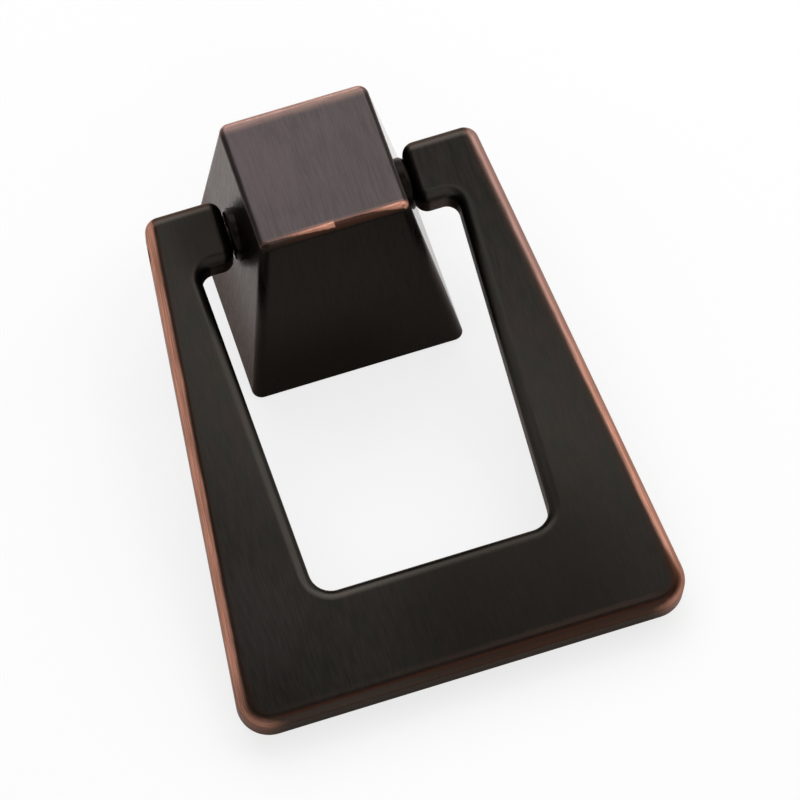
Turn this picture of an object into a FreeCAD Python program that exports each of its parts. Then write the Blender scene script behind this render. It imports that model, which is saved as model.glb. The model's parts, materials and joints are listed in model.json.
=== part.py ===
import FreeCAD, Part
import math
import os
import Sketcher

# Pendant drawer pull: a square tapered post stands out of the drawer front and carries a flat,
# flared ring that swings on two short pins pressed through its arms.
# Frame: origin at the centre of the post's mounting face, +Z out of the drawer front along the
# screw, X along the pivot pins, +Y up in use. The pull lies on its mounting face as it was
# photographed, with the ring fallen towards -Y until its lower edge touches the same plane.

doc = FreeCAD.newDocument("pendant_pull")

# Driving dimensions, in millimetres and degrees
DRIVING = [
    ("face_width", 15.0, "side of the square outer face of the post"),
    ("foot_width", 21.9, "side of the square mounting face of the post"),
    ("post_height", 22.0, "projection of the post"),
    ("corner_round", 1.05, "radius of the post's four standing edges"),
    ("face_edge_round", 0.75, "round along the edges of the outer face"),
    ("foot_chamfer", 0.2, "chamfer along the edges of the mounting face"),
    ("pivot_height", 13.6, "pivot axis above the mounting face"),
    ("boss_diameter", 5.5, "round pivot boss on each side of the post"),
    ("boss_edge_round", 0.5, "round on the boss's rim"),
    ("boss_gap", 0.08, "play between a boss and the arm end that faces it"),
    ("sweep_gap", 0.09, "least room between a swinging arm end and the post's sloping side"),
    ("ring_thickness", 4.2, "thickness of the ring"),
    ("ring_reach_up", 3.6, "pivot axis to the top edge of the arms"),
    ("ring_drop", 48.75, "pivot axis to the lower edge of the ring"),
    ("bar_depth", 11.28, "depth of the ring's lower bar"),
    ("arm_end_below", 2.9, "pivot axis to the underside of the inturned arm ends"),
    ("swing_gap", 2.3, "room each side of the foot inside the ring, at the arm ends"),
    ("window_narrowing", 1.24, "how much each side of the window closes in at its lower end"),
    ("arm_width_top", 3.69, "width of an arm at its top"),
    ("arm_width_foot", 10.9, "flare of an arm at the ring's lower edge, from the window's side"),
    ("outer_foot_corner", 3.2, "radius of the ring's two lower corners"),
    ("outer_top_corner", 1.5, "radius of the arms' outer top corners"),
    ("window_foot_corner", 2.2, "radius of the window's two lower corners"),
    ("window_top_corner", 1.3, "radius under each inturned arm end"),
    ("arm_end_corner", 1.3, "radius of the arm ends beside the bosses"),
    ("front_edge_round", 1.2, "round along the ring's front edges"),
    ("back_edge_round", 0.55, "round along the ring's back edges"),
    ("pin_diameter", 2.4, "pivot pin, a press fit in the ring"),
    ("pin_clearance", 0.05, "radial running clearance of a pin in the post"),
    ("pin_in_post", 4.2, "length of a pin inside the post"),
    ("pin_end_room", 0.4, "room beyond the pin at the end of its bore"),
    ("pin_recess", 0.3, "how far a pin's outer end lies below the ring's side"),
    ("pin_chamfer", 0.25, "chamfer on a pin's ends"),
    ("screw_core_diameter", 3.45, "core of the tapped hole for the mounting screw"),
    ("screw_depth", 10.0, "depth of the tapped hole"),
    ("screw_boss_diameter", 8.0, "round boss around the tapped hole, at the mounting face"),
    ("core_depth", 9.0, "depth of the four cored pockets behind the post"),
    ("core_wall", 2.4, "wall left round the pockets at the mounting face"),
    ("core_rib", 1.6, "thickness of the diagonal ribs at the mounting face"),
    ("core_corner", 0.5, "radius in the pockets' outer corners"),
    ("drill_point", 118.0, "angle of a drill's point"),
]

# Dimensions that follow from the driving ones
DERIVED = [
    ("face_half", "face_width / 2"),
    ("foot_half", "foot_width / 2"),
    ("side_slope", "(foot_half - face_half) / post_height"),
    ("half_thickness", "ring_thickness / 2"),
    # radius, round the pivot axis, of the flat part of an arm's inner end
    ("sweep_radius", "sqrt((ring_reach_up - arm_end_corner) ^ 2 + (half_thickness - back_edge_round) ^ 2)"),
    # the arm ends stop where the post's side, at the foot of that sweep, still clears them
    ("arm_end_x", "foot_half - side_slope * (pivot_height - sweep_radius) + sweep_gap"),
    ("boss_end_x", "arm_end_x - boss_gap"),
    ("boss_radius", "boss_diameter / 2"),
    ("window_level", "ring_drop - bar_depth"),
    ("window_top_x", "foot_half + swing_gap"),
    ("window_foot_x", "window_top_x - window_narrowing"),
    ("outer_top_x", "window_top_x + arm_width_top"),
    ("outer_foot_x", "window_foot_x + arm_width_foot"),
    ("outer_slope", "(outer_foot_x - outer_top_x) / (ring_drop + ring_reach_up)"),
    ("outer_pivot_x", "outer_top_x + outer_slope * ring_reach_up"),
    ("pin_radius", "pin_diameter / 2"),
    ("pin_outer_x", "outer_pivot_x - pin_recess"),
    ("pin_inner_x", "boss_end_x - pin_in_post"),
    ("bore_radius", "pin_radius + pin_clearance"),
    ("bore_end_x", "pin_inner_x - pin_end_room"),
    ("bore_tip_x", "bore_end_x - bore_radius / tan(drill_point * 1 deg / 2)"),
    ("bore_mouth_x", "arm_end_x + boss_radius"),
    ("screw_boss_radius", "screw_boss_diameter / 2"),
    ("pocket_x", "foot_half - core_wall"),
    ("half_rib", "core_rib / 2"),
    # the ring's lower back edge, seen from the pivot, comes down on the mounting plane
    ("edge_along", "ring_drop - back_edge_round"),
    ("edge_below", "half_thickness - back_edge_round"),
    ("lie_angle", "asin((pivot_height - back_edge_round) / sqrt(edge_along ^ 2 + edge_below ^ 2))"
                  " - atan(edge_below / edge_along)"),
]

sheet = doc.addObject("Spreadsheet::Sheet", "Dimensions")
for row, (alias, value, note) in enumerate(DRIVING, start=1):
    sheet.set(f"A{row}", alias)
    sheet.set(f"B{row}", str(value))
    sheet.set(f"C{row}", note)
    sheet.setAlias(f"B{row}", alias)
for row, (alias, formula) in enumerate(DERIVED, start=len(DRIVING) + 1):
    sheet.set(f"A{row}", alias)
    sheet.set(f"B{row}", "=" + formula)
    sheet.setAlias(f"B{row}", alias)
doc.recompute()


def size(alias):
    """A dimension from the sheet as a plain number."""
    value = sheet.get(alias)
    return float(getattr(value, "Value", value))


def cell(alias):
    """The text that binds a property to a dimension in the sheet."""
    return f"Dimensions.{alias}"


# Helpers for sketches and features
def origin_plane(body, role):
    """One of the body's own origin planes."""
    return next(f for f in body.Origin.OriginFeatures if f.Role == role)


def new_sketch(body, name, role, lift=None, along="z"):
    """A sketch on an origin plane; lift names the dimension by which it is moved along an axis."""
    sketch = body.newObject("Sketcher::SketchObject", name)
    sketch.AttachmentSupport = [(origin_plane(body, role), "")]
    sketch.MapMode = "FlatFace"
    if lift:
        sketch.setExpression(f".AttachmentOffset.Base.{along}", cell(lift))
    return sketch


def locate(sketch, geometry, end, x_alias, y_alias):
    """Fix one end of a line by its distances from the sketch's origin.

    An alias may carry a minus sign, and "0" puts the point on that axis."""
    for kind, alias in (("DistanceX", x_alias), ("DistanceY", y_alias)):
        if alias == "0":
            axis = -2 if kind == "DistanceX" else -1
            sketch.addConstraint(Sketcher.Constraint("PointOnObject", geometry, end, axis))
            continue
        name = alias.lstrip("-")
        ends = (geometry, end, -1, 1) if alias.startswith("-") else (-1, 1, geometry, end)
        index = sketch.addConstraint(Sketcher.Constraint(kind, *ends, size(name)))
        sketch.setExpression(f"Constraints[{index}]", cell(name))


def coordinate(alias):
    """The number that an alias with an optional minus sign stands for."""
    if alias == "0":
        return 0.0
    return -size(alias[1:]) if alias.startswith("-") else size(alias)


def outline(sketch, corners):
    """A closed outline of straight edges through corners given as pairs of dimensions."""
    points = [FreeCAD.Vector(coordinate(x), coordinate(y), 0) for x, y in corners]
    following = points[1:] + points[:1]
    edges = sketch.addGeometry([Part.LineSegment(a, b) for a, b in zip(points, following)])
    for this, after in zip(edges, edges[1:] + edges[:1]):
        sketch.addConstraint(Sketcher.Constraint("Coincident", this, 2, after, 1))
    for edge, (x_alias, y_alias) in zip(edges, corners):
        locate(sketch, edge, 1, x_alias, y_alias)
    return edges


def mirrored_corners(corners):
    """The same corners on the other side of the Y axis, in reverse order."""
    return [("-" + x, y) for x, y in reversed(corners)]


def fillet(body, name, base, edges, radius):
    """Round the named edges of the base feature with a radius from the sheet."""
    feature = body.newObject("PartDesign::Fillet", name)
    feature.Base = (base, edges)
    feature.setExpression("Radius", cell(radius))
    doc.recompute()
    return feature


def edges_where(shape, test):
    """Names of the edges whose middle point and box pass the test."""
    names = []
    for number, edge in enumerate(shape.Edges, start=1):
        middle = edge.valueAt((edge.FirstParameter + edge.LastParameter) / 2)
        if test(middle, edge.BoundBox):
            names.append(f"Edge{number}")
    return names


def faces_where(shape, test):
    """Names of the faces whose box passes the test."""
    return [f"Face{number}" for number, face in enumerate(shape.Faces, start=1) if test(face.BoundBox)]


def draft(body, name, base, faces, reverse):
    """Lean the named faces by the post's slope, hinged where they meet the mounting plane.

    Outer sides lean in towards the face; reverse leans the walls of a pocket in with depth."""
    feature = body.newObject("PartDesign::Draft", name)
    feature.Base = (base, faces)
    feature.NeutralPlane = (origin_plane(body, "XY_Plane"), [""])
    feature.Reversed = reverse
    feature.setExpression("Angle", "atan(Dimensions.side_slope)")
    doc.recompute()
    return feature


def removed_by(feature, before):
    """Volume that a cut took away, which has to be more than nothing."""
    taken = before - feature.Shape.Volume
    if taken <= 0:
        raise RuntimeError(f"{feature.Label} cuts nothing")
    return taken


CLOSE = 1e-4

# Post: a square die casting that tapers from its foot to its face
post = doc.addObject("PartDesign::Body", "post")
post.Label = "post"

foot_outline = new_sketch(post, "foot_outline", "XY_Plane")
outline(foot_outline, [
    ("foot_half", "-foot_half"),
    ("foot_half", "foot_half"),
    ("-foot_half", "foot_half"),
    ("-foot_half", "-foot_half"),
])
doc.recompute()

block = post.newObject("PartDesign::Pad", "square_block")
block.Profile = foot_outline
block.setExpression("Length", cell("post_height"))
doc.recompute()

sides = faces_where(block.Shape, lambda box: box.ZLength > CLOSE)
tapered = draft(post, "tapered_block", block, sides, reverse=False)
print("tapered block", round(tapered.Shape.Volume, 2), "mm3")

top = size("post_height")
standing = edges_where(tapered.Shape, lambda p, box: box.ZLength > top - CLOSE)
corner_round = fillet(post, "corner_round", tapered, standing, "corner_round")
face_rim = edges_where(corner_round.Shape, lambda p, box: box.ZMin > top - CLOSE)
face_round = fillet(post, "face_round", corner_round, face_rim, "face_edge_round")
foot_rim = edges_where(face_round.Shape, lambda p, box: box.ZMax < CLOSE)
foot_chamfer = post.newObject("PartDesign::Chamfer", "foot_chamfer")
foot_chamfer.Base = (face_round, foot_rim)
foot_chamfer.setExpression("Size", cell("foot_chamfer"))
doc.recompute()

# Pivot bosses: one turned profile right through the block, standing out on both sides
boss_profile = new_sketch(post, "boss_profile", "XZ_Plane", "pivot_height", "y")
reach, radius, bend = size("boss_end_x"), size("boss_radius"), size("boss_edge_round")
centres = [FreeCAD.Vector(side * (reach - bend), radius - bend, 0) for side in (1, -1)]
bend_right, bend_left = [
    Part.ArcOfCircle(Part.Circle(centre, FreeCAD.Vector(0, 0, 1), bend), first, first + math.pi / 2)
    for centre, first in zip(centres, (0, math.pi / 2))]
axis_line, right_end, right_bend, rim, left_bend, left_end = boss_profile.addGeometry([
    Part.LineSegment(FreeCAD.Vector(-reach, 0, 0), FreeCAD.Vector(reach, 0, 0)),
    Part.LineSegment(FreeCAD.Vector(reach, 0, 0), bend_right.StartPoint),
    bend_right,
    Part.LineSegment(bend_right.EndPoint, bend_left.StartPoint),
    bend_left,
    Part.LineSegment(bend_left.EndPoint, FreeCAD.Vector(-reach, 0, 0)),
])
boss_profile.addConstraint([
    Sketcher.Constraint("PointOnObject", axis_line, 1, -1),
    Sketcher.Constraint("Symmetric", axis_line, 1, axis_line, 2, -2),
    Sketcher.Constraint("Coincident", axis_line, 2, right_end, 1),
    Sketcher.Constraint("Tangent", right_end, 2, right_bend, 1),
    Sketcher.Constraint("Tangent", right_bend, 2, rim, 1),
    Sketcher.Constraint("Tangent", rim, 2, left_bend, 1),
    Sketcher.Constraint("Tangent", left_bend, 2, left_end, 1),
    Sketcher.Constraint("Coincident", left_end, 2, axis_line, 1),
    Sketcher.Constraint("Vertical", right_end),
    Sketcher.Constraint("Vertical", left_end),
    Sketcher.Constraint("Horizontal", rim),
    Sketcher.Constraint("Equal", right_bend, left_bend),
])
for constraint, alias in (
    (Sketcher.Constraint("DistanceX", -1, 1, right_end, 1, reach), "boss_end_x"),
    (Sketcher.Constraint("DistanceY", -1, 1, rim, 1, radius), "boss_radius"),
    (Sketcher.Constraint("Radius", right_bend, bend), "boss_edge_round"),
):
    index = boss_profile.addConstraint(constraint)
    boss_profile.setExpression(f"Constraints[{index}]", cell(alias))
doc.recompute()

bosses = post.newObject("PartDesign::Revolution", "pivot_bosses")
bosses.Profile = boss_profile
bosses.ReferenceAxis = (boss_profile, ["H_Axis"])
bosses.Angle = 360
doc.recompute()

# Pin bores: drilled from each side, with the drill's point left at the end
bore_profile = new_sketch(post, "bore_profile", "XZ_Plane", "pivot_height", "y")
outline(bore_profile, [
    ("bore_tip_x", "0"),
    ("bore_mouth_x", "0"),
    ("bore_mouth_x", "bore_radius"),
    ("bore_end_x", "bore_radius"),
])
doc.recompute()
volume_before = bosses.Shape.Volume
bore = post.newObject("PartDesign::Groove", "pin_bore")
bore.Profile = bore_profile
bore.ReferenceAxis = (bore_profile, ["H_Axis"])
bore.Angle = 360
doc.recompute()
print("one pin bore", round(removed_by(bore, volume_before), 2), "mm3")

bores = post.newObject("PartDesign::Mirrored", "pin_bores")
bores.Originals = [bore]
bores.MirrorPlane = (origin_plane(post, "YZ_Plane"), [""])
post.Tip = bores
doc.recompute()

# Cored back: four drafted pockets leave a wall, diagonal ribs and the screw boss
pocket_outline = new_sketch(post, "pocket_outline", "XY_Plane")
boss_reach = size("screw_boss_radius")
wall_x = size("pocket_x")
rib_step = size("half_rib") * math.sqrt(2)
inner_x = (rib_step + math.sqrt(2 * boss_reach ** 2 - rib_step ** 2)) / 2
inner = FreeCAD.Vector(inner_x, inner_x - rib_step, 0)
outer = FreeCAD.Vector(wall_x, wall_x - rib_step, 0)
flip = FreeCAD.Rotation(FreeCAD.Vector(1, 0, 0), 180)
below_inner, below_outer = flip.multVec(inner), flip.multVec(outer)
swing = math.atan2(inner.y, inner.x)
ring_circle = Part.Circle(FreeCAD.Vector(0, 0, 0), FreeCAD.Vector(0, 0, 1), boss_reach)
lower_rib, wall_line, upper_rib, boss_arc = pocket_outline.addGeometry([
    Part.LineSegment(below_inner, below_outer),
    Part.LineSegment(below_outer, outer),
    Part.LineSegment(outer, inner),
    Part.ArcOfCircle(ring_circle, -swing, swing),
])
pocket_outline.addConstraint([
    Sketcher.Constraint("Coincident", boss_arc, 3, -1, 1),
    Sketcher.Constraint("Coincident", lower_rib, 2, wall_line, 1),
    Sketcher.Constraint("Coincident", wall_line, 2, upper_rib, 1),
    Sketcher.Constraint("Coincident", upper_rib, 2, boss_arc, 2),
    Sketcher.Constraint("Coincident", boss_arc, 1, lower_rib, 1),
    Sketcher.Constraint("Vertical", wall_line),
    Sketcher.Constraint("Angle", lower_rib, math.radians(-45)),
    Sketcher.Constraint("Perpendicular", lower_rib, upper_rib),
])
for constraint, alias in (
    (Sketcher.Constraint("Radius", boss_arc, boss_reach), "screw_boss_radius"),
    (Sketcher.Constraint("DistanceX", -1, 1, wall_line, 1, wall_x), "pocket_x"),
    (Sketcher.Constraint("Distance", -1, 1, lower_rib, size("half_rib")), "half_rib"),
    (Sketcher.Constraint("Distance", -1, 1, upper_rib, size("half_rib")), "half_rib"),
):
    index = pocket_outline.addConstraint(constraint)
    pocket_outline.setExpression(f"Constraints[{index}]", cell(alias))
doc.recompute()

volume_before = bores.Shape.Volume
pocket = post.newObject("PartDesign::Pocket", "cored_pocket")
pocket.Profile = pocket_outline
pocket.Type = "Length"
pocket.setExpression("Length", cell("core_depth"))
pocket.Reversed = True
doc.recompute()
print("one pocket", round(removed_by(pocket, volume_before), 2), "mm3")

pockets = post.newObject("PartDesign::PolarPattern", "cored_pockets")
pockets.Originals = [pocket]
pockets.Axis = (next(f for f in post.Origin.OriginFeatures if f.Role == "Z_Axis"), [""])
pockets.Angle = 360
pockets.Occurrences = 4
post.Tip = pockets
doc.recompute()

deep = size("core_depth")
walls = faces_where(pockets.Shape, lambda box: box.ZMin < CLOSE and abs(box.ZMax - deep) < CLOSE)
pocket_draft = draft(post, "pocket_draft", pockets, walls, reverse=True)

halfway = (boss_reach + wall_x) / 2
corners = edges_where(
    pocket_draft.Shape,
    lambda p, box: box.ZMin < CLOSE and abs(box.ZMax - deep) < CLOSE and math.hypot(p.x, p.y) > halfway)
pocket_rounds = fillet(post, "pocket_rounds", pocket_draft, corners, "core_corner")
print("pocket walls drafted", len(walls), "outer corners rounded", len(corners))

# Tapped hole for the mounting screw, its thread left as a plain core
screw_centre = new_sketch(post, "screw_centre", "XY_Plane")
screw_circle = screw_centre.addGeometry(
    Part.Circle(FreeCAD.Vector(0, 0, 0), FreeCAD.Vector(0, 0, 1), size("screw_core_diameter") / 2))
screw_centre.addConstraint(Sketcher.Constraint("Coincident", screw_circle, 3, -1, 1))
index = screw_centre.addConstraint(
    Sketcher.Constraint("Diameter", screw_circle, size("screw_core_diameter")))
screw_centre.setExpression(f"Constraints[{index}]", cell("screw_core_diameter"))
doc.recompute()
volume_before = pocket_rounds.Shape.Volume
screw_hole = post.newObject("PartDesign::Hole", "screw_hole")
screw_hole.Profile = screw_centre
screw_hole.ThreadType = 0
screw_hole.DepthType = "Dimension"
screw_hole.DrillPoint = "Angled"
screw_hole.setExpression("Diameter", cell("screw_core_diameter"))
screw_hole.setExpression("Depth", cell("screw_depth"))
screw_hole.setExpression("DrillPointAngle", cell("drill_point"))
screw_hole.Reversed = True
doc.recompute()
print("screw hole", round(removed_by(screw_hole, volume_before), 2), "mm3")

# Ring: a flat flared casting, open at the top, with its arm ends turned in to the bosses.
# Its sketch lies in its middle plane, with the pivot axis through the origin.
ring = doc.addObject("PartDesign::Body", "ring")
ring.Label = "ring"
right_side = [
    ("outer_foot_x", "-ring_drop"),
    ("outer_top_x", "ring_reach_up"),
    ("arm_end_x", "ring_reach_up"),
    ("arm_end_x", "-arm_end_below"),
    ("window_top_x", "-arm_end_below"),
    ("window_foot_x", "-window_level"),
]
ring_outline = new_sketch(ring, "ring_outline", "XY_Plane")
outline(ring_outline, right_side + mirrored_corners(right_side))
doc.recompute()

plate = ring.newObject("PartDesign::Pad", "ring_plate")
plate.Profile = ring_outline
plate.setExpression("Length", cell("ring_thickness"))
plate.SideType = "Symmetric"
doc.recompute()


def corner_edges(shape, x_alias, y_alias):
    """The two edges across the thickness at a corner of the ring, left and right."""
    def at_corner(p, box):
        across = box.ZLength > size("ring_thickness") - CLOSE
        return across and abs(abs(p.x) - size(x_alias)) < CLOSE and abs(p.y - coordinate(y_alias)) < CLOSE
    return edges_where(shape, at_corner)


plan = plate
for name, x_alias, y_alias, radius in (
    ("foot_corners", "outer_foot_x", "-ring_drop", "outer_foot_corner"),
    ("top_corners", "outer_top_x", "ring_reach_up", "outer_top_corner"),
    ("arm_end_tops", "arm_end_x", "ring_reach_up", "arm_end_corner"),
    ("arm_end_undersides", "arm_end_x", "-arm_end_below", "arm_end_corner"),
    ("window_top_corners", "window_top_x", "-arm_end_below", "window_top_corner"),
    ("window_foot_corners", "window_foot_x", "-window_level", "window_foot_corner"),
):
    plan = fillet(ring, name, plan, corner_edges(plan.Shape, x_alias, y_alias), radius)

half = size("half_thickness")
front_loop = edges_where(plan.Shape, lambda p, box: box.ZMin > half - CLOSE)
front_round = fillet(ring, "front_round", plan, front_loop, "front_edge_round")
back_loop = edges_where(front_round.Shape, lambda p, box: box.ZMax < CLOSE - half)
back_round = fillet(ring, "back_round", front_round, back_loop, "back_edge_round")

# Pin holes: one cut along the pivot axis through both arms
hole_outline = new_sketch(ring, "hole_outline", "YZ_Plane")
hole_circle = hole_outline.addGeometry(
    Part.Circle(FreeCAD.Vector(0, 0, 0), FreeCAD.Vector(0, 0, 1), size("pin_radius")))
hole_outline.addConstraint(Sketcher.Constraint("Coincident", hole_circle, 3, -1, 1))
index = hole_outline.addConstraint(Sketcher.Constraint("Radius", hole_circle, size("pin_radius")))
hole_outline.setExpression(f"Constraints[{index}]", cell("pin_radius"))
doc.recompute()
volume_before = back_round.Shape.Volume
pin_holes = ring.newObject("PartDesign::Pocket", "pin_holes")
pin_holes.Profile = hole_outline
pin_holes.SideType = "Symmetric"
pin_holes.Type = "Length"
pin_holes.setExpression("Length", "4 * Dimensions.outer_pivot_x")
doc.recompute()
print("two pin holes", round(removed_by(pin_holes, volume_before), 2), "mm3")


# Pivot pins: plain chamfered pins, each pressed through an arm from outside
def pivot_pin(label, turn):
    """A pin along +X from inside the post to just below the ring's side, turned about Z."""
    body = doc.addObject("PartDesign::Body", label)
    body.Label = label
    profile = new_sketch(body, label + "_profile", "XY_Plane")
    outline(profile, [
        ("pin_inner_x", "0"),
        ("pin_outer_x", "0"),
        ("pin_outer_x", "pin_radius"),
        ("pin_inner_x", "pin_radius"),
    ])
    doc.recompute()
    turned = body.newObject("PartDesign::Revolution", label + "_turned")
    turned.Profile = profile
    turned.ReferenceAxis = (profile, ["H_Axis"])
    turned.Angle = 360
    doc.recompute()
    rims = edges_where(turned.Shape, lambda p, box: box.XLength < CLOSE and box.YLength > CLOSE)
    chamfer = body.newObject("PartDesign::Chamfer", label + "_chamfer")
    chamfer.Base = (turned, rims)
    chamfer.setExpression("Size", cell("pin_chamfer"))
    body.Placement = FreeCAD.Placement(
        FreeCAD.Vector(0, 0, size("pivot_height")), FreeCAD.Rotation(FreeCAD.Vector(0, 0, 1), turn))
    body.setExpression(".Placement.Base.z", cell("pivot_height"))
    doc.recompute()
    return body


pivot_pin_right = pivot_pin("pivot_pin_right", 0)
pivot_pin_left = pivot_pin("pivot_pin_left", 180)

# The ring hangs on the pivot axis and leans until its lower edge meets the mounting plane
ring.Placement = FreeCAD.Placement(
    FreeCAD.Vector(0, 0, size("pivot_height")),
    FreeCAD.Rotation(FreeCAD.Vector(1, 0, 0), size("lie_angle")))
ring.setExpression(".Placement.Base.z", cell("pivot_height"))
ring.setExpression(".Placement.Rotation.Angle", cell("lie_angle"))
doc.recompute()

# Check every object, then write one STEP file for each piece
for item in doc.Objects:
    if "Invalid" in item.State or "Error" in item.State:
        raise RuntimeError(f"{item.Label} is {item.State}")

os.makedirs("parts", exist_ok=True)
for piece in (post, ring, pivot_pin_left, pivot_pin_right):
    shape = piece.Shape
    if shape.isNull() or not shape.isValid() or len(shape.Solids) != 1:
        raise RuntimeError(f"{piece.Label} isn't one valid solid")
    box = shape.optimalBoundingBox(False, False)
    print(piece.Label, "volume", round(shape.Volume, 2), "mm3, box",
          [round(v, 3) for v in (box.XMin, box.YMin, box.ZMin, box.XMax, box.YMax, box.ZMax)])
    shape.exportStep(f"parts/{piece.Label}.step")
print("ring leans", round(size("lie_angle"), 3), "degrees, arm ends at", round(size("arm_end_x"), 3))
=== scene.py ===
# %% [markdown]
# # A pendant drawer pull in rubbed bronze
# This lesson dresses a small drawer pull: a tapered post, a flat flared ring that hangs from it,
# and the two pins that the ring swings on. The shapes come ready made, as the frame, in metres.
# What is left to make is what the eye reads as bronze: a dark satin skin, fine brushing, and
# copper that shows where hands and cloth have rubbed the edges bright.

# %% Load the pull
import bmesh
import bpy
import json
import math
from mathutils import Matrix, Vector


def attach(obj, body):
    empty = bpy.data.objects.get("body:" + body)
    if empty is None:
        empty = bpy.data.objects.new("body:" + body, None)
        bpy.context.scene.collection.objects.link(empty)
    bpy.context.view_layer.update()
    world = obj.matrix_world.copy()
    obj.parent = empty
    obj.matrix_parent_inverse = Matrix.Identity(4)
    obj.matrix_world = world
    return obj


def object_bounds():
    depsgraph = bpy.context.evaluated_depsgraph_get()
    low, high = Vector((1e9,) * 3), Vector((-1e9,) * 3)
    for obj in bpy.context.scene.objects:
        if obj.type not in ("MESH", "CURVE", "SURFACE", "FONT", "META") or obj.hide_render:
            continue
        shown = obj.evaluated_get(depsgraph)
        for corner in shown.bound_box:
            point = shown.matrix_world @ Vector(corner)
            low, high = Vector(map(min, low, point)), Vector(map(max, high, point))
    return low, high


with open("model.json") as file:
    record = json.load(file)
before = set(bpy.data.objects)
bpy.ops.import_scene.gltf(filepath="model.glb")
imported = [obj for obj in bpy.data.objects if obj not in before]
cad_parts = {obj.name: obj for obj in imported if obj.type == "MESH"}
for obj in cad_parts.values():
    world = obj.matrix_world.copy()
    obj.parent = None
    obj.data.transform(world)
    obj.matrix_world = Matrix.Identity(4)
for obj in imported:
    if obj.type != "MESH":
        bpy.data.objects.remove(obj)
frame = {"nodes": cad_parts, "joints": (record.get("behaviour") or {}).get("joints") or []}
cad_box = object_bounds()
post = frame["nodes"]["post"]
ring = frame["nodes"]["ring"]
pins = [frame["nodes"]["pivot_pin_left"], frame["nodes"]["pivot_pin_right"]]
print("the pull is", [round(1000 * side, 1) for side in cad_box[1] - cad_box[0]], "mm")

# %% [markdown]
# ## Measuring a wall
# Rubbed copper has to follow the real edges. An edge is where two flat walls meet, so the lesson
# first finds the walls. It could repeat the drawing's numbers, but those would be wrong as soon
# as the drawing changed. Instead it asks the mesh: of all the faces that look a given way, the
# widest one lies on the flat wall, and one corner of it tells how far out that wall is.

# %% Find a flat wall
MM = 0.001
SAME_WAY = 0.9
pivot = Vector(frame["joints"][0]["pos_m"])


def flat_wall(piece, towards):
    """The widest flat wall that looks one way from the pivot: its normal, and its reach in mm."""
    found = []
    for face in piece.data.polygons:
        corner = piece.data.vertices[face.vertices[0]].co
        if face.normal.dot(towards) > SAME_WAY and (corner - pivot).dot(towards) > 0:
            found.append((face.area, face.normal.copy(), corner))
    _, normal, corner = max(found, key=lambda wall: wall[0])
    return normal, normal.dot(corner) / MM


print("the ring's pivot lies", round(pivot.z / MM, 1), "mm out from the post's mounting face")

# %% [markdown]
# ## The walls of the pull
# On the post the outer face counts, with the rear and the fore wall that it meets in rubbed
# edges. The ring leans, so its walls are asked for in its own directions: across it, through it
# from back to front, and down along it. Left and right are alike, so the right wall does for both.

# %% Walls of the post and the ring
post_face = flat_wall(post, Vector((0, 0, 1)))
post_fore = flat_wall(post, Vector((0, -1, 0)))
post_rear = flat_wall(post, Vector((0, 1, 0)))

ring_front = flat_wall(ring, Vector((0, 0, 1)))
across = Vector((1, 0, 0))
through = ring_front[0]
down_ring = across.cross(through)
ring_right = flat_wall(ring, across)
ring_foot = flat_wall(ring, down_ring)
ring_top = flat_wall(ring, -down_ring)
ring_back = flat_wall(ring, -through)
ring_thickness = ring_front[1] + ring_back[1]
lean = math.degrees(math.asin(-through.y))
print("the post stands", round(post_face[1], 2), "mm out from its mounting face")
print("the ring is", round(ring_thickness, 2), "mm thick and leans", round(lean, 2), "degrees")

# %% [markdown]
# ## The camera
# The picture this lesson follows was taken with a long lens from above and in front, turned a
# little on its side. A long lens far away keeps the ring's two sides nearly parallel, which is
# what makes a product picture look calm. The angles say where the camera stands, and the focal
# length is given in pixels, because that is how it was read from a picture 800 pixels wide.

# %% Camera
AZIMUTH, ELEVATION, ROLL = (math.radians(angle) for angle in (-11.668, 60.631, -6.534))
LOOKED_AT = Vector((2.68, -15.54, 0.0)) * MM
CAMERA_AWAY = 611.683 * MM
FOCAL_PIXELS = 6187.035
PICTURE_PIXELS = 800
SENSOR = 36.0
NEAREST, FARTHEST = 0.01, 10

level_right = Vector((math.cos(AZIMUTH), math.sin(AZIMUTH), 0))
ahead = Vector((-math.sin(AZIMUTH), math.cos(AZIMUTH), 0))
back = math.sin(ELEVATION) * Vector((0, 0, 1)) - math.cos(ELEVATION) * ahead
level_up = back.cross(level_right)
right = math.cos(ROLL) * level_right + math.sin(ROLL) * level_up
up = math.cos(ROLL) * level_up - math.sin(ROLL) * level_right

lens = bpy.data.cameras.new("product_camera")
lens.sensor_width = SENSOR
lens.lens = SENSOR * FOCAL_PIXELS / PICTURE_PIXELS
lens.clip_start = NEAREST
lens.clip_end = FARTHEST
camera = bpy.data.objects.new("product_camera", lens)
turn = Matrix((right, up, back)).transposed().to_4x4()
camera.matrix_world = Matrix.Translation(LOOKED_AT + CAMERA_AWAY * back) @ turn
bpy.context.scene.collection.objects.link(camera)
bpy.context.scene.camera = camera
print("the lens is", round(lens.lens), "mm long, and the camera is", round(CAMERA_AWAY, 3), "m away")

# %% [markdown]
# ## The table
# The pull lies on plain white paper. A floor that is one large flat mesh is enough: its colour
# is pale, it has no shine of its own, and it catches the soft shadow that tells the eye where the
# pull touches it. It lies a hair below the pull, so the two never share a plane.

# %% Table
TABLE_HALF = 3.0
TABLE_BELOW = 0.02 * MM
table_mesh = bpy.data.meshes.new("table")
corners = [(-1, -1), (1, -1), (1, 1), (-1, 1)]
table_mesh.from_pydata([(TABLE_HALF * x, TABLE_HALF * y, 0) for x, y in corners], [], [(0, 1, 2, 3)])
table = bpy.data.objects.new("table", table_mesh)
table.location.z = cad_box[0].z - TABLE_BELOW
bpy.context.scene.collection.objects.link(table)
print("the table is", 2 * TABLE_HALF, "m wide, so its far edge never shows")

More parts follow.
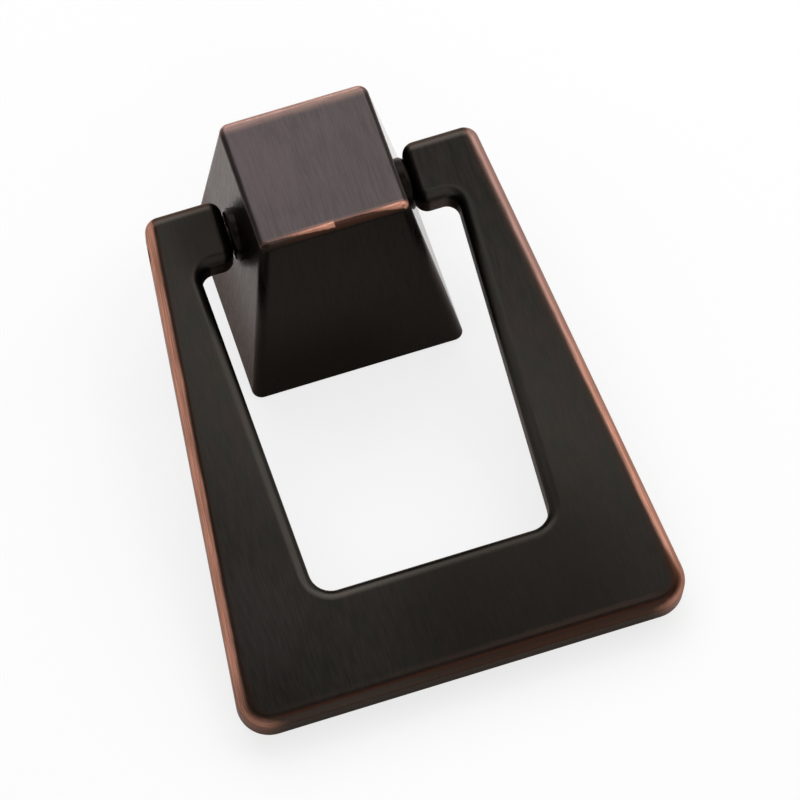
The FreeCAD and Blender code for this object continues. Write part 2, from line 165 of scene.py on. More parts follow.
# %% [markdown]
# ## The paper
# A catalogue picture has its paper nearly white, and only a breath of shadow. More lamps would
# burn out the copper, so the paper helps itself: for the camera, most of its brightness is plain
# white, and the rest is what the lamps and the shadow really give. The metal that mirrors
# the paper sees a little of that white too. For all other light it stays a pale diffuse sheet.

# %% Paper
PLAIN_WHITE = 0.75
MIRRORED_SHARE = 0.18
PAPER_COLOUR = (0.92, 0.92, 0.92, 1)
paper = bpy.data.materials.new("white_paper")
paper.use_nodes = True
sheet, sheet_links = paper.node_tree.nodes, paper.node_tree.links
lit = sheet["Principled BSDF"]
lit.inputs["Base Color"].default_value = PAPER_COLOUR
lit.inputs["Roughness"].default_value = 1.0
lit.inputs["Specular IOR Level"].default_value = 0.0
glow = sheet.new("ShaderNodeEmission")
rays = sheet.new("ShaderNodeLightPath")
seen = sheet.new("ShaderNodeMath")
seen.operation = "MULTIPLY_ADD"
seen.inputs[1].default_value = MIRRORED_SHARE
share = sheet.new("ShaderNodeMath")
share.operation = "MULTIPLY"
share.inputs[1].default_value = PLAIN_WHITE
both = sheet.new("ShaderNodeMixShader")
sheet_links.new(rays.outputs["Is Glossy Ray"], seen.inputs[0])
sheet_links.new(rays.outputs["Is Camera Ray"], seen.inputs[2])
sheet_links.new(seen.outputs[0], share.inputs[0])
sheet_links.new(share.outputs[0], both.inputs[0])
sheet_links.new(lit.outputs[0], both.inputs[1])
sheet_links.new(glow.outputs[0], both.inputs[2])
sheet_links.new(both.outputs[0], sheet["Material Output"].inputs["Surface"])
table_mesh.materials.append(paper)
print("the camera sees the paper as", PLAIN_WHITE, "plain white and the rest lit paper")

# %% [markdown]
# ## The lamps
# Dark satin metal has almost no colour of its own: it shows what it reflects. So the lamps are
# placed by reflections. The post's outer face looks bright because it mirrors a big soft lamp
# behind the pull. The rounded edge inside the left arm mirrors a tall lamp on the right, and two
# dim lamps, on the left and in front, keep the other roundings from going black. A small panel
# close overhead gives the middle of the arms a little more light than the bar below.

# %% Softboxes
SOFTBOX_AWAY, PANEL_AWAY = 0.6, 0.09


def softbox(name, direction, away, width, height, brightness):
    """A rectangular lamp that faces the pull; brightness is what a mirror would show of it."""
    data = bpy.data.lights.new(name, "AREA")
    data.shape = "RECTANGLE"
    data.size = width
    data.size_y = height
    data.energy = brightness * math.pi * width * height
    lamp = bpy.data.objects.new(name, data)
    towards = Vector(direction).normalized()
    lamp.location = LOOKED_AT + away * towards
    lamp.rotation_euler = towards.to_track_quat("Z", "Y").to_euler()
    lamp.visible_camera = False
    bpy.context.scene.collection.objects.link(lamp)
    print(name, "shines from", round(math.degrees(math.asin(towards.z))), "degrees up")


softbox("back_softbox", (0.10, 0.66, 0.75), SOFTBOX_AWAY, 0.75, 0.45, 2.5)
softbox("right_softbox", (0.70, 0.10, 0.71), SOFTBOX_AWAY, 0.30, 0.54, 1.7)
softbox("left_softbox", (-0.64, 0.12, 0.76), SOFTBOX_AWAY, 0.34, 0.32, 0.7)
softbox("front_softbox", (0.05, -0.74, 0.67), SOFTBOX_AWAY, 0.50, 0.28, 0.7)
softbox("overhead_panel", (0.040, -0.036, 0.998), PANEL_AWAY, 0.030, 0.070, 1.15)

# %% [markdown]
# ## The room
# Between the lamps the metal mirrors the room. It is bright all round at the level of the eye and
# dimmer overhead, as in a white studio with a grey ceiling, and the change is gradual, so that it
# draws soft bands on every rounded edge.

# %% Room
CEILING, WALLS = 0.15, 0.95
DIMMER_FROM, DIMMEST_FROM = 0.1, 0.8
room = bpy.data.worlds.new("white_room")
bpy.context.scene.world = room
room.use_nodes = True
room_nodes, room_links = room.node_tree.nodes, room.node_tree.links
background = room_nodes["Background"]
direction = room_nodes.new("ShaderNodeTexCoord")
height = room_nodes.new("ShaderNodeSeparateXYZ")
shade = room_nodes.new("ShaderNodeMapRange")
shade.interpolation_type = "SMOOTHSTEP"
shade.inputs["From Min"].default_value = DIMMER_FROM
shade.inputs["From Max"].default_value = DIMMEST_FROM
shade.inputs["To Min"].default_value = WALLS
shade.inputs["To Max"].default_value = CEILING
room_links.new(direction.outputs["Generated"], height.inputs[0])
room_links.new(height.outputs["Z"], shade.inputs["Value"])
room_links.new(shade.outputs[0], background.inputs["Strength"])
background.inputs["Color"].default_value = (1, 1, 1, 1)
bpy.context.scene.view_settings.view_transform = "Standard"
print("the room's light runs from", WALLS, "at eye level to", CEILING, "overhead")

# %% [markdown]
# ## Recipes for finishes
# A procedural finish is a small graph of nodes that works out the colour, the gloss and the
# tiny bumps at every point. This class keeps the recipes readable. Its point is the place on the
# piece in millimetres. It moves with the piece, so the finish never slides when the ring swings.

# %% Finish, the node helpers
class Finish:
    """A material whose look is worked out from the piece's own coordinates, in millimetres."""

    def __init__(self, name):
        self.material = bpy.data.materials.new(name)
        self.material.use_nodes = True
        self.tree = self.material.node_tree
        self.shader = self.tree.nodes["Principled BSDF"]
        self.place = self.node("TexCoord", {})
        self.point = self.vector("SCALE", self.place.outputs["Object"], Scale=1 / MM)
        self.x, self.y, self.z = self.node("SeparateXYZ", {0: self.point}).outputs

    def node(self, kind, sockets, **settings):
        """Add a node, choose its settings, and feed its sockets with numbers or other outputs."""
        made = self.tree.nodes.new("ShaderNode" + kind)
        for name, value in settings.items():
            setattr(made, name, value)
        for key, value in sockets.items():
            if isinstance(value, bpy.types.NodeSocket):
                self.tree.links.new(value, made.inputs[key])
            else:
                made.inputs[key].default_value = value
        return made

    def number(self, operation, *values):
        """One step of arithmetic on numbers."""
        return self.node("Math", dict(enumerate(values)), operation=operation).outputs[0]

    def plus(self, one, other):
        """The sum of two numbers."""
        return self.number("ADD", one, other)

    def minus(self, one, other):
        """The first number less the second."""
        return self.number("SUBTRACT", one, other)

    def times(self, product, *others):
        """The product of numbers, such as an amount that others weaken."""
        for other in others:
            product = self.number("MULTIPLY", product, other)
        return product

    def larger(self, one, other):
        """The larger of two numbers."""
        return self.number("MAXIMUM", one, other)

    def vector(self, operation, first, second=None, **named):
        """One step of arithmetic on vectors."""
        sockets = {0: first, **named}
        if second is not None:
            sockets[1] = second
        made = self.node("VectorMath", sockets, operation=operation)
        return made.outputs["Value" if operation in ("DOT_PRODUCT", "LENGTH") else "Vector"]

    def together(self, x, y, z=0.0):
        """Three numbers as one vector."""
        return self.node("CombineXYZ", {0: x, 1: y, 2: z}).outputs[0]


print("a finish has", len([word for word in vars(Finish) if word[0] != "_"]), "helpers for its nodes")

# %% [markdown]
# ## Soft borders
# Wear has no hard borders, so nearly every step of a recipe is a soft one. A number can fade or
# rise between two places, or stay up between two borders. Two numbers mix and two colours blend
# by an amount from 0 to 1, and noise that is stretched along one axis makes a brush's strokes.

# %% Finish, the maker's helpers
class BrushedMetal(Finish):
    """A metal, with helpers for one that is brushed and then rubbed at its edges."""

    def __init__(self, name):
        super().__init__(name)
        self.shader.inputs["Metallic"].default_value = 1.0
        self.half = self.together(self.number("ABSOLUTE", self.x), self.y, self.z)

    def fade(self, value, full, gone, start=1.0, end=0.0):
        """A soft step: the start value up to full, and the end value from gone on."""
        sockets = {"Value": value, "From Min": full, "From Max": gone, "To Min": start, "To Max": end}
        return self.node("MapRange", sockets, interpolation_type="SMOOTHSTEP").outputs[0]

    def rise(self, value, none, full, most=1.0):
        """A soft step the other way: 0 up to none, and most of all from full on."""
        return self.fade(value, none, full, 0.0, most)

    def between(self, value, low, high, soft):
        """1 between two borders and 0 outside them, with borders that are soft inwards."""
        return self.times(self.rise(value, low, self.plus(low, soft)),
                          self.fade(value, self.minus(high, soft), high))

    def mix(self, amount, first, second):
        """A number that goes from the first to the second as the amount goes from 0 to 1."""
        return self.node("Mix", {0: amount, 2: first, 3: second}).outputs[0]

    def blend(self, amount, colour, over):
        """The first colour, with the second one over it by an amount from 0 to 1."""
        return self.node("Mix", {0: amount, 6: colour, 7: over}, data_type="RGBA").outputs[2]

    def inside(self, wall):
        """How deep the point lies behind a flat wall, in mm; left and right count as the same."""
        normal, reach = wall
        return self.minus(reach, self.vector("DOT_PRODUCT", self.half, tuple(normal)))

    def distance(self, one, other):
        """The distance that two distances at a right angle make together."""
        return self.vector("LENGTH", self.together(one, other))

    def grain(self, place, per_mm, detail=3.0):
        """Noise round 0.5 whose lumps have their own fineness along each axis."""
        stretched = self.vector("MULTIPLY", place, per_mm)
        return self.node("TexNoise", {"Vector": stretched, "Scale": 1.0, "Detail": detail}).outputs[0]

    def feed(self, socket, value):
        """Let a worked-out value set one of the shader's sockets."""
        self.tree.links.new(value, self.shader.inputs[socket])

    def bump(self, height, depth):
        """Give the surface a relief; the depth is in mm."""
        sockets = {"Height": height, "Distance": depth * MM, "Strength": 1.0}
        self.feed("Normal", self.node("Bump", sockets).outputs[0])

    def wear(self, piece):
        """Put the finish on a piece."""
        piece.data.materials.clear()
        piece.data.materials.append(self.material)
        print(piece.name, "wears", self.material.name, "made of", len(self.tree.nodes), "nodes")


print("brushed metal adds", len([word for word in vars(BrushedMetal) if word[0] != "_"]), "helpers")

# %% [markdown]
# ## Colours of the bronze
# The real finish is a thin dark brown coat over copper plate on a zinc casting. The coat is
# greyer where the brushing has thinned it. Its darker browns and its near-black are partly the
# coat lying thick and partly painted shade, on the post's sides and foot, round the pivots and
# inside the ring's window. Where it is about to wear through it turns a deep red-brown, and then
# the copper shows. Bare copper is bright in the middle of a stroke and dull where the stroke
# ends. The last three colours tint what the metal mirrors where it is seen almost edge on, and
# the one for the post's foot paints shade into what it mirrors there.

# %% Colours of the bronze
COAT_GREY = (0.048, 0.038, 0.040, 1)
COAT_OLIVE = (0.040, 0.034, 0.033, 1)
COAT_BRUSHED = (0.075, 0.062, 0.062, 1)
COAT_BROWN_AND_SHADE = (0.0132, 0.0106, 0.0084, 1)
PAINTED_FOOT_SHADE = (0.0100, 0.0092, 0.0068, 1)
COAT_THICK_AND_SHADE = (0.010, 0.008, 0.007, 1)
RING_OLIVE = (0.032, 0.031, 0.026, 1)
RING_BROWN = (0.037, 0.031, 0.027, 1)
RED_BROWN = (0.055, 0.022, 0.012, 1)
RED_LINE = (0.044, 0.019, 0.013, 1)
BROWN_BRUSHED = (0.085, 0.052, 0.042, 1)
COPPER = (0.55, 0.26, 0.185, 1)
COPPER_DULL = (0.34, 0.16, 0.11, 1)
COPPER_PALE = (0.46, 0.265, 0.215, 1)
COPPER_FADED = (0.34, 0.195, 0.165, 1)
POST_GRAZING = (0.97, 0.905, 0.885, 1)
POST_FOOT_SHADE_GRAZING = (0.80, 0.70, 0.67, 1)
RING_GRAZING = (0.60, 0.55, 0.52, 1)
print("copper is", round(COPPER[0] / COAT_BROWN_AND_SHADE[0]), "times as bright as the coat it wears through")

# %% [markdown]
# ## Finding the way on the post
# The finish needs to know where a point lies: how deep under the outer face, how far from the
# rear and the fore wall, and how far from the pivot. Each is a plain distance in millimetres.

# %% Places on the post
FACE_EDGE = 0.03, 0.22
post_bronze = BrushedMetal("rubbed_post_bronze")
post_depth = post_bronze.inside(post_face)
rear = post_bronze.inside(post_rear)
fore = post_bronze.inside(post_fore)
from_pivot = post_bronze.vector("SUBTRACT", post_bronze.point, tuple(pivot / MM))
_, pivot_y, pivot_z = post_bronze.node("SeparateXYZ", {0: from_pivot}).outputs
from_axis = post_bronze.distance(pivot_y, pivot_z)
on_face = post_bronze.fade(post_depth, *FACE_EDGE)
print("the outer face ends where the surface has dropped by", FACE_EDGE[0], "to", FACE_EDGE[1], "mm")

# %% [markdown]
# ## Brushing the post
# The outer face is brushed from its rear edge to its fore edge, and the sloping sides from foot to
# face. Long thin noise makes the marks: it changes quickly across a stroke and slowly along it.
# A second, finer noise breaks them up, as the real marks of an abrasive pad are never all the
# same length. A third, slow noise leaves patches for the coat.

# %% Brushing on the post
ACROSS, ALONG = 6.0, 0.3
FINE_ACROSS, FINE_ALONG, FINE_SHARE = 14.0, 1.2, 0.3
PATCHES_PER_MM = (0.30, 0.14, 0.25)
SIDEWAYS = 0.6, 0.8
normal = post_bronze.node("SeparateXYZ", {0: post_bronze.place.outputs["Normal"]}).outputs
on_side = post_bronze.rise(post_bronze.number("ABSOLUTE", normal["X"]), *SIDEWAYS)
strokes = post_bronze.mix(on_side, post_bronze.grain(post_bronze.point, (ACROSS, ALONG, ALONG), 4.0),
                          post_bronze.grain(post_bronze.point, (ALONG, ACROSS, ALONG), 4.0))
fine = post_bronze.grain(post_bronze.point, (FINE_ACROSS, FINE_ALONG, FINE_ALONG), 2.0)
strokes = post_bronze.mix(FINE_SHARE, strokes, fine)
mottle = post_bronze.grain(post_bronze.point, PATCHES_PER_MM)
print("a brush mark is about", round(1 / ACROSS, 2), "mm wide and", round(1 / ALONG, 1), "mm long")

# %% [markdown]
# ## The coat on the post
# Slow patches of a purplish and an olive grey lie under the brushing on the face. The sides are
# browner and darker, which is painted shade, and darker still near the foot, most of all on the
# left. Round the pivot bosses the coat is thick, a real patina deepened by painted shade.

# %% Coat on the post
FACE_BRUSHED, SIDE_BRUSHED = 0.42, 0.12
OLIVE_TO_RIGHT = 0.012
FOOT_HEIGHTS, FOOT_LEFT_TO_RIGHT = (3.0, 13.0), (-1.0, 8.0, 1.0, 0.2)
BOSS_RADII = 3.0, 4.6
olive = post_bronze.number("MULTIPLY_ADD", post_bronze.x, OLIVE_TO_RIGHT, mottle)
face_coat = post_bronze.blend(post_bronze.rise(olive, 0.38, 0.60), COAT_GREY, COAT_OLIVE)
face_marks = post_bronze.rise(strokes, 0.38, 0.62, FACE_BRUSHED)
face_coat = post_bronze.blend(face_marks, face_coat, COAT_BRUSHED)
side_marks = post_bronze.rise(strokes, 0.35, 0.65, SIDE_BRUSHED)
# painted shade: the sides get a darker brown coat than the face
shaded_side_coat = post_bronze.blend(side_marks, COAT_BROWN_AND_SHADE, COAT_OLIVE)
# painted shade: the sides darken further towards the foot, most of all on the left
foot_shade = post_bronze.times(post_bronze.fade(post_bronze.z, *FOOT_HEIGHTS),
                              post_bronze.fade(post_bronze.x, *FOOT_LEFT_TO_RIGHT))
shaded_side_coat = post_bronze.blend(foot_shade, shaded_side_coat, PAINTED_FOOT_SHADE)
coat = post_bronze.blend(on_face, shaded_side_coat, face_coat)
# partly real patina, partly painted shade: near-black round the pivot bosses, between post and arms
coat = post_bronze.blend(post_bronze.fade(from_axis, *BOSS_RADII), coat, COAT_THICK_AND_SHADE)
print("the coat is thickest up to", BOSS_RADII[0], "mm from the pivot's axis")

# %% [markdown]
# ## The rear edge of the outer face
# A thumb or a cloth runs over this edge, so it is rubbed along its whole length. The copper is
# bare on the outer part of the rounding, and it thins out softly onto the face. Noise that is
# stretched along the edge makes the marks of rubbing and lets the border wander.

# %% Rubbing the rear edge
REAR_BARE, REAR_THIN = (0.28, 0.62, 0.55), (0.30, 1.60, 0.30)
REAR_DEPTHS = 0.45, 0.90
REAR_WANDER = 0.4
ragged = post_bronze.grain(post_bronze.point, (1.6, 1.6, 1.6), 4.0)
rubbing = post_bronze.grain(post_bronze.point, (0.4, 6.0, 6.0))
wander = post_bronze.number("MULTIPLY_ADD", ragged, 0.5, -0.25)
rear_place = post_bronze.number("MULTIPLY_ADD", wander, REAR_WANDER, rear)
bare = post_bronze.fade(rear_place, *REAR_BARE)
thinning = post_bronze.fade(rear_place, *REAR_THIN)
rear_copper = post_bronze.times(post_bronze.plus(bare, thinning),
                                post_bronze.fade(post_depth, *REAR_DEPTHS),
                                post_bronze.fade(rubbing, 0.3, 0.7, 1.2, 0.75))
print("copper starts to thin", REAR_BARE[0], "mm from the rear wall and is gone at", REAR_THIN[1], "mm")

# %% [markdown]
# ## The fore edge of the outer face
# This edge was rubbed in two strokes that meet in the middle with a step. Each stroke starts thin
# along the face and reaches further down the rounding towards its end, and the second one ends
# in a bare corner. Under the copper the coat is worn to red-brown. Each row of four numbers says
# from where to where along the edge, in mm, something changes, and what it is at either end.

# %% Rubbing the fore edge
FIRST_LOW, SECOND_LOW = (-7.0, 0.0, 0.54, 0.18), (2.0, 7.2, 0.62, 0.10)
FIRST_STRENGTH, SECOND_STRENGTH = (-6.0, -0.3, 0.14, 1.0), (2.0, 7.0, 0.30, 0.90)
WORN_RED = (-6.5, -2.0, 0.3, 0.75)
FORE_HIGH, FORE_SOFT, FORE_WANDER = 1.05, 0.12, 0.25
first_stroke = post_bronze.number("LESS_THAN", post_bronze.x, 0.0)
low = post_bronze.mix(first_stroke, post_bronze.fade(post_bronze.x, *SECOND_LOW),
                      post_bronze.fade(post_bronze.x, *FIRST_LOW))
strength = post_bronze.mix(first_stroke, post_bronze.fade(post_bronze.x, *SECOND_STRENGTH),
                           post_bronze.fade(post_bronze.x, *FIRST_STRENGTH))
fore_place = post_bronze.number("MULTIPLY_ADD", wander, FORE_WANDER, fore)
fore_copper = post_bronze.times(post_bronze.between(fore_place, low, FORE_HIGH, FORE_SOFT), strength,
                                post_bronze.fade(fore_place, 0.55, 0.85, 1.0, 0.15),
                                post_bronze.fade(post_depth, 0.3, 0.7))
red = post_bronze.times(post_bronze.fade(fore_place, 0.60, 0.85), post_bronze.fade(post_depth, 0.12, 0.50),
                        post_bronze.fade(post_bronze.x, *WORN_RED))
deeper = SECOND_LOW[2] - SECOND_LOW[3]
print("the second stroke reaches", round(deeper, 2), "mm further down the rounding at its end")

# %% [markdown]
# ## Bronze on the post
# The layers come together: coat, red-brown, copper. The same brush marks that change the colour
# also change the gloss and lift the surface by a few thousandths of a millimetre, so they catch
# the light as scratches do. A wall seen almost edge on mirrors sharply, however satin it is.

# %% Bronze on the post
DULL_MARKS = 0.35, 0.65
PALE_REAR = 2.0, 4.0
SATIN = (0.25, 0.75, 0.25, 0.38)
EDGE_ON, EDGE_ON_GLOSS = (0.86, 0.95), 0.05
POST_RELIEF, SIDE_RELIEF = 0.006, 0.08
bright = post_bronze.blend(post_bronze.fade(rubbing, *DULL_MARKS), COPPER, COPPER_DULL)
pale = post_bronze.blend(post_bronze.fade(rear, *PALE_REAR), bright, COPPER_PALE)
colour = post_bronze.blend(red, coat, RED_BROWN)
colour = post_bronze.blend(post_bronze.larger(rear_copper, fore_copper), colour, pale)
post_bronze.feed("Base Color", colour)
turned_away = post_bronze.node("LayerWeight", {"Blend": 0.5}).outputs["Facing"]
gloss = post_bronze.fade(strokes, *SATIN)
gloss = post_bronze.mix(post_bronze.rise(turned_away, *EDGE_ON), gloss, EDGE_ON_GLOSS)
post_bronze.feed("Roughness", gloss)
# painted shade: near the foot the metal's edge-on reflections are tinted darker
post_bronze.feed("Specular Tint", post_bronze.blend(foot_shade, POST_GRAZING, POST_FOOT_SHADE_GRAZING))
relief = post_bronze.times(strokes, post_bronze.fade(post_depth, 0.03, 0.3, 1.0, SIDE_RELIEF))
post_bronze.bump(relief, POST_RELIEF)
post_bronze.wear(post)

# %% [markdown]
# ## Finding the way on the ring
# The ring leans, so its finish has its own axes: across, along and through it. The most useful
# distance is the one from the outline, as if the ring were seen flat from the front. Its outline
# turns two round corners at the foot, and so does the distance.

# %% Places on the ring
FOOT_CORNER = 3.2
ring_bronze = BrushedMetal("rubbed_ring_bronze")
from_pivot = ring_bronze.vector("SUBTRACT", ring_bronze.point, tuple(pivot / MM))
along_ring = ring_bronze.vector("DOT_PRODUCT", from_pivot, tuple(down_ring))
through_ring = ring_bronze.vector("DOT_PRODUCT", from_pivot, tuple(through))
on_ring = ring_bronze.together(ring_bronze.x, along_ring, through_ring)
from_side = ring_bronze.inside(ring_right)
from_foot = ring_bronze.inside(ring_foot)
from_top = ring_bronze.inside(ring_top)
ring_depth = ring_bronze.inside(ring_front)
short_side = ring_bronze.larger(ring_bronze.minus(FOOT_CORNER, from_side), 0.0)
short_foot = ring_bronze.larger(ring_bronze.minus(FOOT_CORNER, from_foot), 0.0)
outline = ring_bronze.minus(FOOT_CORNER, ring_bronze.distance(short_side, short_foot))
on_outline = ring_bronze.together(outline, along_ring, through_ring)
right_half = ring_bronze.rise(ring_bronze.x, -8.0, 8.0)
print("the outline turns its foot corners with a radius of", FOOT_CORNER, "mm")

# %% [markdown]
# ## The coat on the ring
# The ring was brushed lightly along its length. Its coat is darker than the post's face, with
# slow patches that lean to olive or to brown. It is darker on the walls, and near-black inside
# the window, which is painted shade. The back was brushed in passing, unevenly.

# %% Coat on the ring
WALL_DEPTHS, WINDOW_FROM = (0.9, 1.6), (2.0, 3.0)
BACK_DEPTHS = ring_thickness - 0.30, ring_thickness - 0.05
FRONT_BRUSHED, BACK_BRUSHED = 0.12, 0.15
strokes = ring_bronze.grain(on_ring, (7.0, 0.5, 7.0), 4.0)
mottle = ring_bronze.grain(on_ring, (0.45, 0.3, 0.45))
coat = ring_bronze.blend(ring_bronze.fade(mottle, 0.35, 0.65), RING_OLIVE, RING_BROWN)
coat = ring_bronze.blend(ring_bronze.rise(strokes, 0.35, 0.65, FRONT_BRUSHED), coat, COAT_BRUSHED)
on_walls = ring_bronze.rise(ring_depth, *WALL_DEPTHS)
coat = ring_bronze.blend(on_walls, coat, COAT_BROWN_AND_SHADE)
# painted shade: the window's walls are near-black
window_shade = ring_bronze.times(on_walls, ring_bronze.rise(outline, *WINDOW_FROM))
coat = ring_bronze.blend(window_shade, coat, COAT_THICK_AND_SHADE)
back_coat = ring_bronze.blend(ring_bronze.fade(mottle, 0.30, 0.70, 0.7, 0.2), COAT_BROWN_AND_SHADE, RING_OLIVE)
back_marks = ring_bronze.rise(strokes, 0.35, 0.65, BACK_BRUSHED)
back_coat = ring_bronze.blend(back_marks, back_coat, COAT_BRUSHED)
coat = ring_bronze.blend(ring_bronze.rise(ring_depth, *BACK_DEPTHS), coat, back_coat)
print("the coat is thick on the walls, deeper than", WALL_DEPTHS[0], "mm under the ring's front")

# %% [markdown]
# ## Wide patches on the ring
# Two wide darker patches are painted shade: one on the bar, which lies further from the lamps,
# and one on the left arm's end, in the shade by the pivot. One near the left foot corner was
# brushed more. A patch has a place across and along the ring, the distances at which it starts
# to fade and is gone, an amount and a colour.

# %% Patches on the ring
# painted shade: the first two patches darken the bar and the left arm's end
patches = [((6.5, 43.5), (5.0, 18.0), 0.6, COAT_BROWN_AND_SHADE), ((-10.5, 0.5), (2.5, 6.0), 0.5, COAT_BROWN_AND_SHADE),
           ((-19.0, 38.0), (2.0, 8.0), 0.3, COAT_BRUSHED)]
for (patch_x, patch_along), reach, amount, patch_colour in patches:
    away = ring_bronze.distance(ring_bronze.minus(ring_bronze.x, patch_x),
                                ring_bronze.minus(along_ring, patch_along))
    coat = ring_bronze.blend(ring_bronze.fade(away, *reach, amount), coat, patch_colour)
print("the widest of the", len(patches), "patches is gone", patches[0][1][1], "mm from its middle")

# %% [markdown]
# ## Rubbing the ring
# Copper runs down both outer sides and round the lower corners, where fingers and cloth reach
# it. On the left it ends in a crisp border, on the right it thins out softly, and along the lower
# edge the rubbing dies away. Each pair of widths, in mm, is for a side and for its foot corner.

# %% Copper on the ring
RIGHT_FULL, RIGHT_GONE = (0.56, 0.35), (1.12, 0.92)
LEFT_FULL, LEFT_GONE = (0.62, 0.45), (0.98, 1.20)
FOOT_GONE = 0.30
ragged = ring_bronze.grain(on_ring, (1.2, 0.25, 1.2))
rubbing = ring_bronze.grain(on_outline, (8.0, 0.25, 8.0))
edge = ring_bronze.plus(outline, ring_bronze.number("MULTIPLY_ADD", ragged, 0.34, -0.17))
strength = ring_bronze.fade(from_side, 1.6, 5.0)
corner = ring_bronze.rise(along_ring, 41.0, 46.0)
full = ring_bronze.mix(right_half, ring_bronze.mix(corner, *LEFT_FULL), ring_bronze.mix(corner, *RIGHT_FULL))
gone = ring_bronze.mix(right_half, ring_bronze.mix(corner, *LEFT_GONE), ring_bronze.mix(corner, *RIGHT_GONE))
full, gone = ring_bronze.times(strength, full), ring_bronze.mix(strength, FOOT_GONE, gone)
copper = ring_bronze.times(ring_bronze.fade(edge, full, gone), ring_bronze.mix(strength, 0.05, 1.0))
print("the copper is up to", RIGHT_GONE[0], "mm wide on the right and", LEFT_GONE[0], "mm on the left")

# %% [markdown]
# ## Where the ring's copper thins out
# High on the right arm a faint veil of copper reaches further in, and the arms' top edges have a
# trace of it. Copper is weaker down the walls than on the front's rounding, and duller on the
# lower corners, most of all on the left one.

# %% Thin copper on the ring
RIGHT_VEIL, TOP_TRACE = (0.5, 1.7, 0.20), (0.2, 1.1, 0.07)
DOWN_WALLS = (1.0, 2.6, 1.0, 0.75)
LEFT_CORNER, RIGHT_CORNER = 0.5, 0.8
upper_right = ring_bronze.times(right_half, ring_bronze.fade(along_ring, 5.0, 32.0, 1.0, 0.1))
veil = ring_bronze.times(upper_right, ring_bronze.fade(edge, *RIGHT_VEIL), strength)
copper = ring_bronze.larger(ring_bronze.larger(copper, veil), ring_bronze.fade(from_top, *TOP_TRACE))
dull = ring_bronze.mix(corner, 1.0, ring_bronze.mix(right_half, LEFT_CORNER, RIGHT_CORNER))
copper = ring_bronze.times(copper, ring_bronze.fade(ring_depth, *DOWN_WALLS), dull)
print("the veil on the right arm is gone", RIGHT_VEIL[1], "mm from the outline")

# %% [markdown]
# ## Red-brown on the ring
# Next to the copper the coat is worn to red-brown, in a border that widens round the lower
# corners. The ring's lower edge keeps hardly any copper: there the coat has a dark red line along
# the rounding, with a brushed brown band beyond it.

# %% Red-brown on the ring
RED_WIDTH = 0.55, 1.0
LEFT_RED, RIGHT_RED = 0.5, (0.3, 0.95)
FOOT_LINE, FOOT_BROWN = (0.50, 1.06, 0.22), (0.75, 1.85, 0.40)
LEFT_BROWN, RIGHT_BROWN = 0.22, 0.32
red_gone = ring_bronze.plus(gone, ring_bronze.mix(corner, *RED_WIDTH))
red = ring_bronze.times(ring_bronze.fade(edge, gone, red_gone), ring_bronze.fade(ring_depth, 1.0, 1.6),
                        ring_bronze.mix(right_half, LEFT_RED, ring_bronze.mix(corner, *RIGHT_RED)),
                        ring_bronze.mix(strength, 0.5, 1.0))
on_foot = ring_bronze.minus(1.0, strength)
foot_line = ring_bronze.times(on_foot, ring_bronze.between(edge, *FOOT_LINE))
foot_brown = ring_bronze.times(on_foot, ring_bronze.between(edge, *FOOT_BROWN),
                               ring_bronze.mix(right_half, LEFT_BROWN, RIGHT_BROWN))
print("the dark red line lies", FOOT_LINE[0], "to", FOOT_LINE[1], "mm from the ring's lower outline")

# %% [markdown]
# ## Bronze on the ring
# The layers come together as on the post. The brushing is finer here, so the relief is lower and
# the gloss more even.

# %% Bronze on the ring
RING_SATIN = (0.2, 0.8, 0.30, 0.37)
RING_RELIEF = 0.002
bright = ring_bronze.blend(ring_bronze.fade(rubbing, 0.38, 0.66), COPPER, COPPER_DULL)
bright = ring_bronze.blend(upper_right, bright, COPPER_FADED)
colour = ring_bronze.blend(red, coat, RED_BROWN)
colour = ring_bronze.blend(foot_brown, colour, BROWN_BRUSHED)
colour = ring_bronze.blend(foot_line, colour, RED_LINE)
ring_bronze.feed("Base Color", ring_bronze.blend(copper, colour, bright))
ring_bronze.feed("Roughness", ring_bronze.fade(strokes, *RING_SATIN))
ring_bronze.shader.inputs["Specular Tint"].default_value = RING_GRAZING
ring_bronze.bump(strokes, RING_RELIEF)
ring_bronze.wear(ring)

# %% [markdown]
# ## The pins
# The pins are turned steel, blackened in oil, and only their ends show. A lathe leaves fine rings
# round the axis, so the noise changes along the pin and is almost the same all round it.

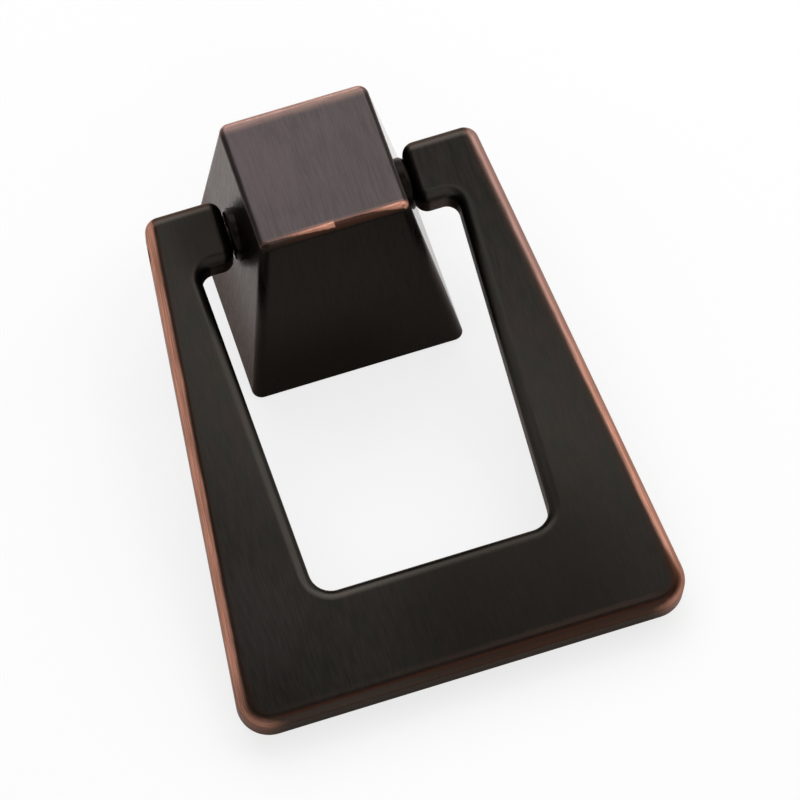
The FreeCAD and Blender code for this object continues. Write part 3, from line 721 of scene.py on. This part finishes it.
# %% Pin steel
STEEL_BLACK, STEEL_WORN = (0.016, 0.014, 0.012, 1), (0.035, 0.031, 0.028, 1)
PIN_SATIN = (0.2, 0.8, 0.3, 0.5)
PIN_RELIEF = 0.008
pin_steel = BrushedMetal("blackened_pin_steel")
turned = pin_steel.grain(pin_steel.point, (9.0, 1.0, 1.0))
pin_steel.feed("Base Color", pin_steel.blend(turned, STEEL_BLACK, STEEL_WORN))
pin_steel.feed("Roughness", pin_steel.fade(turned, *PIN_SATIN))
pin_steel.bump(turned, PIN_RELIEF)
for pin in pins:
    pin_steel.wear(pin)

# %% [markdown]
# ## The thread
# A screw from inside the drawer holds the post, so its hole is tapped. The solid has a plain wall
# there, which is enough for fitting and weighing. The eye expects a thread, so a fine ridge is
# wound up the wall: a triangle that climbs by one pitch in each turn, closed at both ends. The
# frame's origin lies in the mouth of the hole, so the winding needs no other place to start from.

# %% Thread
PITCH = 25.4 / 32
WALL, CREST = 1.735, 1.645
FIRST, LAST = 0.50, 9.30
STEPS = 24
RIDGE_HALF = 0.36 * PITCH
winding = bmesh.new()
before = None
count = round((LAST - FIRST) / PITCH * STEPS)
for step in range(count + 1):
    angle = 2 * math.pi * step / STEPS
    rise = FIRST + PITCH * step / STEPS
    triangle = [(WALL, rise - RIDGE_HALF), (CREST, rise), (WALL, rise + RIDGE_HALF)]
    around = [winding.verts.new(MM * Vector((r * math.cos(angle), r * math.sin(angle), z)))
              for r, z in triangle]
    if before is None:
        winding.faces.new(around)
    else:
        for one, other in ((0, 1), (1, 2), (2, 0)):
            winding.faces.new((before[one], before[other], around[other], around[one]))
    before = around
winding.faces.new(before)
bmesh.ops.recalc_face_normals(winding, faces=winding.faces)
print("the thread makes", round(count / STEPS, 1), "turns at", PITCH, "mm each")

# %% [markdown]
# ## The thread in its hole
# The winding becomes an object of its own. It wears the post's bronze, because the same coat ran
# into the hole, and it stays with the post when the ring swings.

# %% Thread in its hole
thread_mesh = bpy.data.meshes.new("screw_thread")
winding.to_mesh(thread_mesh)
winding.free()
thread = bpy.data.objects.new("screw_thread", thread_mesh)
bpy.context.scene.collection.objects.link(thread)
post_bronze.wear(thread)
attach(thread, "base")
print("the thread's ridge has", len(thread_mesh.polygons), "faces")

# %% [markdown]
